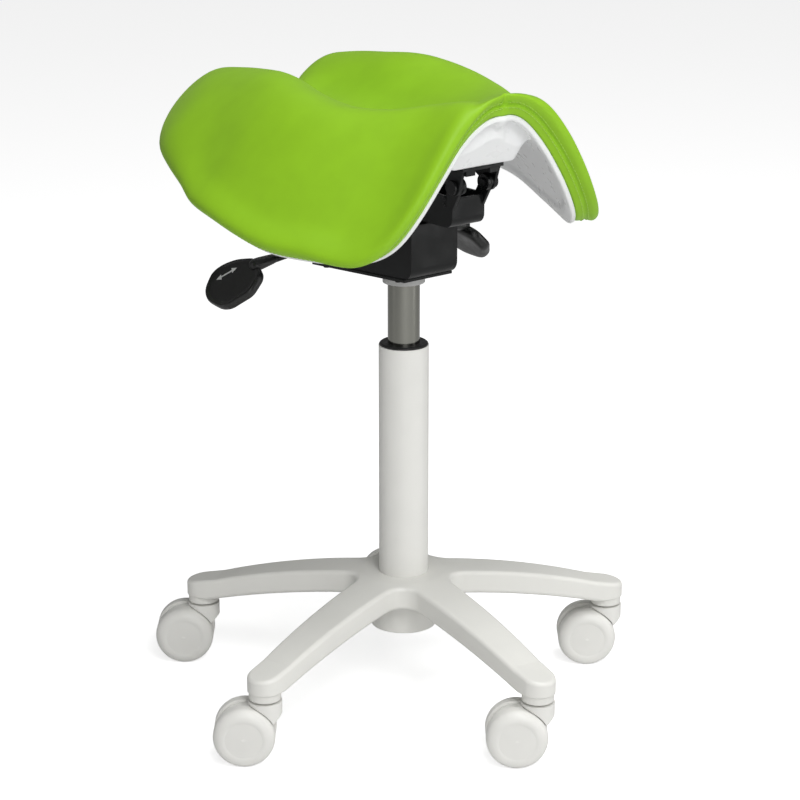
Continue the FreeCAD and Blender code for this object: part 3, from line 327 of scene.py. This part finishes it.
def value(table, forward, column):
    """Smooth value of one column of a station table."""
    if forward >= table[0][0]:
        return table[0][column]
    if forward <= table[-1][0]:
        return table[-1][column]
    i = 0
    while table[i + 1][0] > forward:
        i += 1

    def slope(j):
        before, after = max(j - 1, 0), min(j + 1, len(table) - 1)
        return (table[after][column] - table[before][column]) / (table[after][0] - table[before][0])
    span = table[i + 1][0] - table[i][0]
    t = (forward - table[i][0]) / span
    y0, y1 = table[i][column], table[i + 1][column]
    m0, m1 = slope(i) * span, slope(i + 1) * span
    return ((2 * t ** 3 - 3 * t ** 2 + 1) * y0 + (t ** 3 - 2 * t ** 2 + t) * m0
            + (3 * t ** 2 - 2 * t ** 3) * y1 + (t ** 3 - t ** 2) * m1)


def surface(table, forward, left):
    """Height of a saddle surface: a valley, a ridge each side and flanks that curve down."""
    valley, ridge_half, ridge, flank_half, flank, roundness = [value(table, forward, k) for k in range(1, 7)]
    side = abs(left)
    if side <= ridge_half:
        share = (ridge_half - side) / ridge_half
        return ridge - (ridge - valley) * (0.5 - 0.5 * math.cos(math.pi * share))
    full = math.hypot(flank_half - ridge_half, roundness) - roundness
    return ridge - (ridge - flank) * (math.hypot(side - ridge_half, roundness) - roundness) / full


def normal(table, forward, left):
    """Upward normal of a saddle surface as (left, forward, up)."""
    along = (surface(table, forward + 1, left) - surface(table, forward - 1, left)) / 2
    across = (surface(table, forward, left + 1) - surface(table, forward, left - 1)) / 2
    return np.array((-across, -along, 1.0)) / math.sqrt(1 + along * along + across * across)


def rim_loop(steps):
    """The whole rim in plan as a smooth closed row of (left, forward)."""
    half = [(left, forward) for forward, left in RIM]
    loop = np.array(half + [(-left, forward) for left, forward in half[-2:0:-1]], float)
    count = len(loop)
    points = []
    for i in range(count):
        p0, p1, p2, p3 = loop[i - 1], loop[i], loop[(i + 1) % count], loop[(i + 2) % count]
        for k in range(steps):
            t = k / steps
            points.append(0.5 * (2 * p1 + (p2 - p0) * t + (2 * p0 - 5 * p1 + 4 * p2 - p3) * t * t
                                 + (3 * p1 - p0 - 3 * p2 + p3) * t ** 3))
    return np.array(points)


def outward(points):
    """Unit plan direction out of a closed row that runs from the front round by the left."""
    along = np.roll(points, -1, 0) - np.roll(points, 1, 0)
    out = np.column_stack((along[:, 1], -along[:, 0]))
    out /= np.linalg.norm(out, axis=1)[:, None]
    if ((points - points.mean(0)) * out).sum() < 0:
        out = -out
    return out


def on_slope(out, up):
    """A plan direction laid onto the surface with that normal."""
    tilted = np.array((out[0], out[1], -(up[0] * out[0] + up[1] * out[1]) / up[2]))
    return tilted / np.linalg.norm(tilted)


def bulge(forward):
    """How far the pad stands out past the shell's rim at that place."""
    ahead = [row[0] for row in PAD_BULGE][::-1]
    size = [row[1] for row in PAD_BULGE][::-1]
    return float(np.interp(forward, ahead, size))


class RimFrame:
    """Local directions at one point of the shell's rim."""

    def __init__(self, place, out):
        left, forward = place
        self.out = out
        self.normal = normal(SHELL_STATIONS, forward, left)
        self.side = on_slope(out, self.normal)
        self.point = np.array((left, forward, surface(SHELL_STATIONS, forward, left)))
        self.bulge = bulge(forward)

    def at(self, side, height):
        """A point `side` outwards and `height` above the shell."""
        return self.point + self.side * side + self.normal * height


def rim_frames(steps):
    loop = rim_loop(steps)
    return [RimFrame(place, out) for place, out in zip(loop, outward(loop))]


SPINE_FRONT = 105.0
SPINE_REAR = -125.0
SPINE_SHARE = 0.75


def spine(forward):
    """Where the inner rings close up, on the seat's middle line."""
    return min(SPINE_FRONT, max(SPINE_REAR, forward * SPINE_SHARE))


def inner_ring(edge, share, height):
    """A ring that share of the way from the edge to the middle line, at height(forward, left)."""
    ring = []
    for left, forward, _ in edge:
        y = forward + (spine(forward) - forward) * share
        x = left * (1 - share)
        ring.append(np.array((x, y, height(y, x))))
    return ring


def to_metres(point):
    return Vector((point[0] * MM, -point[1] * MM, point[2] * MM))


def mesh_from_rings(name, rings, material):
    """A smoothed mesh of quads between closed rings of points."""
    count = len(rings[0])
    vertices = [to_metres(p) for ring in rings for p in ring]
    faces = []
    for low in range(0, (len(rings) - 1) * count, count):
        high = low + count
        for i in range(count):
            j = (i + 1) % count
            faces.append((low + i, low + j, high + j, high + i))
    return mesh_piece(name, vertices, faces, material, 1)


MERGE_DISTANCE = 0.00002
SLIVER_LENGTH = 0.000005


def mesh_piece(name, vertices, faces, material, subdivisions=0):
    """A cleaned and smoothly shaded piece of the scene."""
    data = bpy.data.meshes.new(name)
    data.from_pydata(vertices, [], faces)
    cleaner = bmesh.new()
    cleaner.from_mesh(data)
    bmesh.ops.remove_doubles(cleaner, verts=cleaner.verts, dist=MERGE_DISTANCE)
    bmesh.ops.dissolve_degenerate(cleaner, edges=cleaner.edges, dist=SLIVER_LENGTH)
    bmesh.ops.recalc_face_normals(cleaner, faces=cleaner.faces)
    cleaner.to_mesh(data)
    cleaner.free()
    for face in data.polygons:
        face.use_smooth = True
    piece = bpy.data.objects.new(name, data)
    bpy.context.scene.collection.objects.link(piece)
    data.materials.append(material)
    if subdivisions:
        modifier = piece.modifiers.new("smooth", "SUBSURF")
        modifier.levels = subdivisions
        modifier.render_levels = subdivisions
    return piece


# The pad: a sewn strip beside the shell, a crease, a rolled edge and the crown

STRIP_PROFILE = ((0.0, 0.3), (0.08, 2.5), (0.25, 5.5), (0.38, 7.6), (0.36, 8.6), (0.24, 9.2), (0.34, 10.2),
                 (0.55, 11.7), (0.82, 13.9), (1.0, 16.5))     # share of the bulge, height above the shell
PAD_LIFT = 0.3          # the underside's height above the shell
ROLL_UP = 0.45          # how far the rolled edge rises straight up, and comes down onto the crown
ROLL_IN = 0.35
ROLL_SHARES = (0.1, 0.2, 0.31, 0.43, 0.55, 0.68, 0.82, 1.0)
CROWN_RINGS = 18
ROLL_INWARD = ((-200, 20), (-140, 20), (-60, 18), (60, 15))   # forward, plan width of the rolled edge


def roll_points(piece_frame):
    """The rolled edge of the pad, from its widest point up onto the crown."""
    widest = piece_frame.at(piece_frame.bulge, STRIP_PROFILE[-1][1])
    inward = np.interp(piece_frame.point[1], [r[0] for r in ROLL_INWARD], [r[1] for r in ROLL_INWARD])
    left, forward = widest[:2] - piece_frame.out * inward
    crown = np.array((left, forward, surface(PAD_STATIONS, forward, left)))
    crown_side = on_slope(piece_frame.out, normal(PAD_STATIONS, forward, left))
    reach = np.linalg.norm(crown - widest)
    first = widest + piece_frame.normal * reach * ROLL_UP
    second = crown + crown_side * reach * ROLL_IN
    points = []
    for t in ROLL_SHARES:
        points.append((1 - t) ** 3 * widest + 3 * t * (1 - t) ** 2 * first + 3 * t * t * (1 - t) * second
                      + t ** 3 * crown)
    return points


def make_pad():
    """The upholstered pad with its sewn strip, as one closed piece."""
    frames = rim_frames(ROUND_STEPS)
    rings = [[f.at(f.bulge * share, height) for f in frames] for share, height in STRIP_PROFILE]
    rolls = [roll_points(f) for f in frames]
    rings += [[roll[k] for roll in rolls] for k in range(len(ROLL_SHARES))]
    edge = rings[-1]
    for k in range(1, CROWN_RINGS + 1):
        rings.append(inner_ring(edge, k / CROWN_RINGS, lambda y, x: surface(PAD_STATIONS, y, x)))
    below = []
    for k in range(CROWN_RINGS, 0, -1):
        below.append(inner_ring([f.point for f in frames], k / CROWN_RINGS,
                                lambda y, x: surface(SHELL_STATIONS, y, x) + PAD_LIFT))
    pad = mesh_from_rings("pad_cover", below + rings, UPHOLSTERY)
    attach(pad, "seat")
    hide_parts("seat_pad", "seam_band")


# Two rows of thread along the seam, one each side of the crease

STITCH_LENGTH = 3.4
STITCH_GAP = 1.0
STITCH_RADIUS = 0.42
STITCH_SIDES = 6
STITCH_ROWS = (6.3, 11.4)   # heights above the shell
# Along one stitch: share of its length, height off the cloth
STITCH_COURSE = ((0.0, -0.25), (0.12, 0.12), (0.5, 0.22), (0.88, 0.12), (1.0, -0.25))
STITCH_FRAMES = 4       # times as many places round the rim as the pad has


def strip_point(piece_frame, height):
    """The strip's outer face at that height above the shell."""
    share = np.interp(height, [row[1] for row in STRIP_PROFILE], [row[0] for row in STRIP_PROFILE])
    return piece_frame.at(piece_frame.bulge * share, height)


def add_stitch(vertices, faces, centres, outs):
    """A closed tube of thread through those centres."""
    start = len(vertices)
    along = centres[-1] - centres[0]
    along /= np.linalg.norm(along)
    for point, out in zip(centres, outs):
        across = np.cross(along, out)
        for k in range(STITCH_SIDES):
            a = 2 * math.pi * k / STITCH_SIDES
            off = out * math.cos(a) + across * math.sin(a)
            vertices.append(to_metres(point + STITCH_RADIUS * off))
    last = start + (len(centres) - 1) * STITCH_SIDES
    for low in range(start, last, STITCH_SIDES):
        high = low + STITCH_SIDES
        for k in range(STITCH_SIDES):
            m = (k + 1) % STITCH_SIDES
            faces.append((low + k, low + m, high + m, high + k))
    faces.append(tuple(start + k for k in range(STITCH_SIDES)))
    faces.append(tuple(last + k for k in range(STITCH_SIDES))[::-1])


def add_row(vertices, faces, frames, height):
    """One row of stitches round the whole rim."""
    row = [strip_point(f, height) for f in frames]
    row.append(row[0])
    lengths = [0.0]
    for before, after in zip(row, row[1:]):
        lengths.append(lengths[-1] + np.linalg.norm(after - before))
    ring = np.array(row)
    sides = np.array([f.side for f in frames] + [frames[0].side])
    count = int(lengths[-1] // (STITCH_LENGTH + STITCH_GAP))
    pitch = lengths[-1] / count
    for k in range(count):
        centres = []
        outs = []
        for share, lift in STITCH_COURSE:
            stop = k * pitch + STITCH_LENGTH * share
            point = np.array([np.interp(stop, lengths, ring[:, c]) for c in range(3)])
            out = np.array([np.interp(stop, lengths, sides[:, c]) for c in range(3)])
            out /= np.linalg.norm(out)
            centres.append(point + out * lift)
            outs.append(out)
        add_stitch(vertices, faces, centres, outs)


def make_stitches():
    frames = rim_frames(ROUND_STEPS * STITCH_FRAMES)
    vertices = []
    faces = []
    for height in STITCH_ROWS:
        add_row(vertices, faces, frames, height)
    stitches = mesh_piece("seam_stitches", vertices, faces, THREAD)
    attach(stitches, "seat")


# The white shell: a rounded lip, a flange along its rim and the underside, which lies on the mounting plate

SHELL_THICKNESS = 5.0
FLANGE_WIDTH = 10.0
FLANGE_DROP = 0.6       # how far the flange stands below the shell's own underside
LIP = ((-1.0, 0.0), (0.0, -0.8), (0.2, -2.6), (0.0, -4.6),
       (-1.0, -SHELL_THICKNESS - FLANGE_DROP))                  # outwards, up
FLANGE_STEP = 2.2
FLANGE_EDGES = (FLANGE_WIDTH * 0.5, FLANGE_WIDTH - 1.2)         # inwards in plan
UNDER_EDGES = (FLANGE_WIDTH + 0.6, FLANGE_WIDTH + 3.0)
TOP_SINK = 0.3          # the hidden top's depth under the pad
TOP_SINK_REACH = 0.25   # share of the way in where it is reached
PLATE_GAP = 0.1
PLATE_REAR_REACH = 30.0         # behind the plate, where the underside starts to come down
NOSE_SLOPE = 1.7
SEATING_EDGE = (58.0, 36.0)     # distance off the middle where the underside leaves the plate
UNDER_RINGS = 26


def eased(x, start, end):
    """0 at the start, 1 at the end, with a smooth passage."""
    t = min(1.0, max(0.0, (x - start) / (end - start)))
    return t * t * (3 - 2 * t)


def onto_plate(point, plate_box):
    """Brings the shell's underside down to the mounting plate, with a slope up to the front rim."""
    left, forward, up = point
    plate_front, plate_rear = -plate_box[0].y / MM, -plate_box[1].y / MM
    seat_at = plate_box[1].z / MM + PLATE_GAP + max(0.0, forward - plate_front) * NOSE_SLOPE
    share = eased(abs(left), *SEATING_EDGE) * eased(forward, plate_rear - PLATE_REAR_REACH, plate_rear)
    if seat_at < up:
        up += (seat_at - up) * share
    elif share > 0.5:
        up = seat_at
    return np.array((left, forward, up))


def shell_height(forward, left):
    return surface(SHELL_STATIONS, forward, left)


def under_shell(left, forward, depth):
    """A point that deep under the shell's upper face, along its normal."""
    point = np.array((left, forward, shell_height(forward, left)))
    return point - normal(SHELL_STATIONS, forward, left) * depth


def make_shell():
    frames = rim_frames(ROUND_STEPS)
    plate_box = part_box("mounting_plate")
    under_depth = SHELL_THICKNESS - FLANGE_STEP

    def inner(distance, depth):
        """A ring moved inwards in plan by that distance, that deep under the upper face."""
        return [under_shell(*(f.point[:2] - f.out * distance), depth) for f in frames]

    rings = [[f.at(side, height) for f in frames] for side, height in LIP]
    rings += [inner(distance, SHELL_THICKNESS + FLANGE_DROP) for distance in FLANGE_EDGES]
    rings += [inner(distance, under_depth) for distance in UNDER_EDGES]
    edge = rings[-1]
    for k in range(1, UNDER_RINGS + 1):
        places = inner_ring(edge, k / UNDER_RINGS, shell_height)
        under = [under_shell(left, forward, under_depth) for left, forward, _ in places]
        rings.append([onto_plate(point, plate_box) for point in under])
    top = []
    for k in range(UNDER_RINGS, 0, -1):
        share = k / UNDER_RINGS
        sink = TOP_SINK * min(1.0, share / TOP_SINK_REACH)
        top.append(inner_ring([f.point for f in frames], share, lambda y, x: shell_height(y, x) - sink))
    shell = mesh_from_rings("shell_moulding", top + rings, SHELL)
    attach(shell, "seat")
    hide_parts("seat_shell")


make_pad()
make_stitches()
make_shell()


# Lever paddles, in millimetres: a faceted leaf with a raised rim round its dished face

PADDLE_NECK = (130.0, -63.0, 455.5)     # left, forward, up
PADDLE_DROOP_DEG = 45.0
PADDLE_SWEEP_DEG = 26.5
PADDLE_MIDDLE = (30.0, -4.0)        # out from the neck, towards the front
# Corners: distance out from the neck, distance towards the front, rounding
PADDLE_CORNERS = ((0, -12, 3), (16, -29, 14), (32, -37, 12), (45, -38, 9), (60, -23, 10), (62, -7, 6),
                  (54, 14, 5), (46, 22, 5), (31, 25, 9), (19, 28, 7), (3, 18, 7), (0, 12, 3))
# Section from the middle of the underside round the edge to the middle of the face: shrink, lift
PADDLE_SECTION = ((0.25, -6.6), (0.55, -7.0), (0.78, -7.4), (0.90, -6.8), (0.97, -4.8), (1.0, -1.5),
                  (1.0, 1.2), (0.985, 2.8), (0.955, 3.7), (0.92, 3.9), (0.875, 3.2), (0.83, 2.5),
                  (0.76, 2.25), (0.5, 2.2), (0.25, 2.2))
CORNER_STEPS = 3
ROD_END = (124.0, -65.0, 457.5)
ROD_SLANT = (92.5, 0.0, -12.5)
# The sleeve that holds the rod: distance along the rod from its end, radius
SLEEVE_SECTION = ((-15, 4.7), (-14, 5.6), (-8, 6.3), (0, 7.2), (6, 7.8), (11, 7.2), (14, 4.0))
SLEEVE_SIDES = 24
SLEEVE_FLATNESS = 0.82
MARK_START = (20.0, -17.5)
MARK_END = (44.0, -23.5)
MARK_HEAD = (6.0, 3.6)      # length, half width
MARK_SHAFT = 0.9
MARK_LIFT = 2.45
MARK_DEPTH = 0.6


class PaddleFrame:
    """The paddle's own directions: out from its neck, towards the front, and off its face."""

    def __init__(self, side):
        droop, sweep = math.radians(PADDLE_DROOP_DEG), math.radians(PADDLE_SWEEP_DEG)
        mirror = np.array((side, 1.0, 1.0))
        down_out = np.array((math.cos(droop), 0.0, -math.sin(droop)))
        forward = np.array((0.0, 1.0, 0.0))
        self.up = np.array((math.sin(droop), 0.0, math.cos(droop))) * mirror
        self.out = (down_out * math.cos(sweep) - forward * math.sin(sweep)) * mirror
        self.front = (down_out * math.sin(sweep) + forward * math.cos(sweep)) * mirror
        self.neck = np.array(PADDLE_NECK) * mirror
        self.rod_end = np.array(ROD_END) * mirror
        self.slant = np.array(ROD_SLANT) * mirror
        self.slant /= np.linalg.norm(self.slant)

    def at(self, out, front, lift):
        return self.neck + self.out * out + self.front * front + self.up * lift


def rounded_outline(corners, steps):
    """A closed outline with every corner rounded."""
    points = []
    count = len(corners)
    for i in range(count):
        corner = np.array(corners[i][:2], float)
        back = np.array(corners[i - 1][:2]) - corner
        on = np.array(corners[(i + 1) % count][:2]) - corner
        reach = min(corners[i][2], 0.45 * np.linalg.norm(back), 0.45 * np.linalg.norm(on))
        start = corner + back / np.linalg.norm(back) * reach
        end = corner + on / np.linalg.norm(on) * reach
        for k in range(steps + 1):
            t = k / steps
            points.append((1 - t) ** 2 * start + 2 * t * (1 - t) * corner + t * t * end)
    return points


def make_leaf(name, place):
    """The paddle's leaf, closed in the middle of its underside and of its face."""
    outline = rounded_outline(PADDLE_CORNERS, CORNER_STEPS)
    middle = np.array(PADDLE_MIDDLE)
    rings = []
    for shrink, lift in PADDLE_SECTION:
        ring = [middle + (corner - middle) * shrink for corner in outline]
        rings.append([place.at(out, front, lift) for out, front in ring])
    low = [place.at(*middle, PADDLE_SECTION[0][1])] * len(outline)
    high = [place.at(*middle, PADDLE_SECTION[-1][1])] * len(outline)
    return mesh_from_rings(name, [low] + rings + [high], LEVER_PLASTIC)


def make_sleeve(name, place):
    """The paddle's sleeve round the end of the lever's rod."""
    across = np.cross(place.slant, place.up)
    across /= np.linalg.norm(across)
    above = np.cross(across, place.slant)
    angles = [2 * math.pi * k / SLEEVE_SIDES for k in range(SLEEVE_SIDES)]
    centres = [place.rod_end + place.slant * along for along, _ in SLEEVE_SECTION]
    rings = [[centres[0]] * SLEEVE_SIDES]
    for centre, (_, radius) in zip(centres, SLEEVE_SECTION):
        rings.append([centre + radius * (across * math.cos(a) + above * SLEEVE_FLATNESS * math.sin(a))
                      for a in angles])
    rings.append([centres[-1]] * SLEEVE_SIDES)
    return mesh_from_rings(name, rings, LEVER_PLASTIC)


def make_paddle(name, body, replaced, side):
    """The whole paddle of one lever; returns its directions."""
    place = PaddleFrame(side)
    leaf = make_leaf(name, place)
    sleeve = make_sleeve(name + "_sleeve", place)
    for piece in (leaf, sleeve):
        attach(piece, body)
    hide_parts(replaced)
    return place


def make_mark(name, body, place):
    """A plain arrow with a head at each end, standing a hair off the paddle's face."""
    start, end = np.array(MARK_START), np.array(MARK_END)
    length = np.linalg.norm(end - start)
    along = (end - start) / length
    across = np.array((-along[1], along[0]))
    head, half = MARK_HEAD
    half_outline = ((0, 0), (head, half), (head, MARK_SHAFT), (length - head, MARK_SHAFT),
                    (length - head, half), (length, 0))
    outline = list(half_outline) + [(s, -w) for s, w in half_outline[-2:0:-1]]
    points = [start + along * s + across * w for s, w in outline]
    high = [to_metres(place.at(*p, MARK_LIFT)) for p in points]
    low = [to_metres(place.at(*p, MARK_LIFT - MARK_DEPTH)) for p in points]
    count = len(points)
    faces = [tuple(range(count)), tuple(range(2 * count - 1, count - 1, -1))]
    faces += [(i, (i + 1) % count, count + (i + 1) % count, count + i) for i in range(count)]
    mark = mesh_piece(name, high + low, faces, MARK_WHITE)
    for face in mark.data.polygons:
        face.use_smooth = False
    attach(mark, body)


right_paddle = make_paddle("height_paddle_leaf", "height_lever_arm", "height_paddle", -1)
make_mark("height_mark", "height_lever_arm", right_paddle)
left_paddle = make_paddle("tilt_paddle_leaf", "tilt_lever_arm", "tilt_paddle", 1)
make_mark("tilt_mark", "tilt_lever_arm", left_paddle)


# Floor, world and lamps

FLOOR_HALF = 6.0
FLOOR_COLOUR = (0.80, 0.80, 0.80, 1.0)
FLOOR_ROUGHNESS = 0.9
FLOOR_GLOW = 0.68       # lifts the floor towards white where the camera sees it
ROOM_LIGHT = 0.20       # strength of the white surroundings as a light
ROOM_SEEN = 1.0         # and as a background
LAMP_AIM = 0.4          # height that most lamps point at


def make_floor():
    corners = [(x * FLOOR_HALF, y * FLOOR_HALF, 0) for x, y in ((-1, -1), (1, -1), (1, 1), (-1, 1))]
    data = bpy.data.meshes.new("floor")
    data.from_pydata(corners, [], [(0, 1, 2, 3)])
    floor = bpy.data.objects.new("floor", data)
    bpy.context.scene.collection.objects.link(floor)
    material = bpy.data.materials.new("floor")
    material.use_nodes = True
    tree = material.node_tree
    shader = tree.nodes["Principled BSDF"]
    shader.inputs["Base Color"].default_value = FLOOR_COLOUR
    shader.inputs["Roughness"].default_value = FLOOR_ROUGHNESS
    path = tree.nodes.new("ShaderNodeLightPath")
    scale = tree.nodes.new("ShaderNodeMath")
    scale.operation = "MULTIPLY"
    scale.inputs[1].default_value = FLOOR_GLOW
    tree.links.new(path.outputs["Is Camera Ray"], scale.inputs[0])
    shader.inputs["Emission Color"].default_value = (1, 1, 1, 1)
    tree.links.new(scale.outputs[0], shader.inputs["Emission Strength"])
    data.materials.append(material)


def make_world():
    """White surroundings for the camera, with a weaker light of their own."""
    world = bpy.data.worlds.new("world")
    bpy.context.scene.world = world
    world.use_nodes = True
    tree = world.node_tree
    background = tree.nodes["Background"]
    background.inputs["Color"].default_value = (1, 1, 1, 1)
    path = tree.nodes.new("ShaderNodeLightPath")
    seen = tree.nodes.new("ShaderNodeMath")
    seen.operation = "MAXIMUM"
    tree.links.new(path.outputs["Is Camera Ray"], seen.inputs[0])
    tree.links.new(path.outputs["Is Transmission Ray"], seen.inputs[1])
    strength = tree.nodes.new("ShaderNodeMapRange")
    strength.inputs["To Min"].default_value = ROOM_LIGHT
    strength.inputs["To Max"].default_value = ROOM_SEEN
    tree.links.new(seen.outputs[0], strength.inputs["Value"])
    tree.links.new(strength.outputs["Result"], background.inputs["Strength"])


def make_lamp(name, turn, distance, height, width, tall, power, aim=LAMP_AIM):
    """An area lamp placed by its turn in degrees about the stool, from the camera's side."""
    data = bpy.data.lights.new(name, "AREA")
    data.shape = "RECTANGLE"
    data.size = width
    data.size_y = tall
    data.energy = power
    lamp = bpy.data.objects.new(name, data)
    bpy.context.scene.collection.objects.link(lamp)
    angle = math.radians(-CAMERA_TURN_DEG + turn)
    lamp.location = (distance * math.sin(angle), -distance * math.cos(angle), height)
    lamp.rotation_mode = "QUATERNION"
    lamp.rotation_quaternion = (Vector((0, 0, aim)) - lamp.location).to_track_quat("-Z", "Y")


make_floor()
make_world()
make_lamp("key", turn=20.0, distance=2.1, height=2.3, width=1.2, tall=1.2, power=34.0)
make_lamp("low_front", turn=10.0, distance=2.6, height=0.9, width=1.4, tall=1.4, power=12.0, aim=0.2)
make_lamp("top", turn=70.0, distance=0.6, height=3.0, width=1.2, tall=1.2, power=34.0)
make_lamp("strip_left", turn=-75.0, distance=2.0, height=0.6, width=0.25, tall=1.6, power=2.0)
make_lamp("strip_right", turn=78.0, distance=2.0, height=0.6, width=0.25, tall=1.6, power=6.0)

bpy.context.scene.view_settings.view_transform = "Standard"
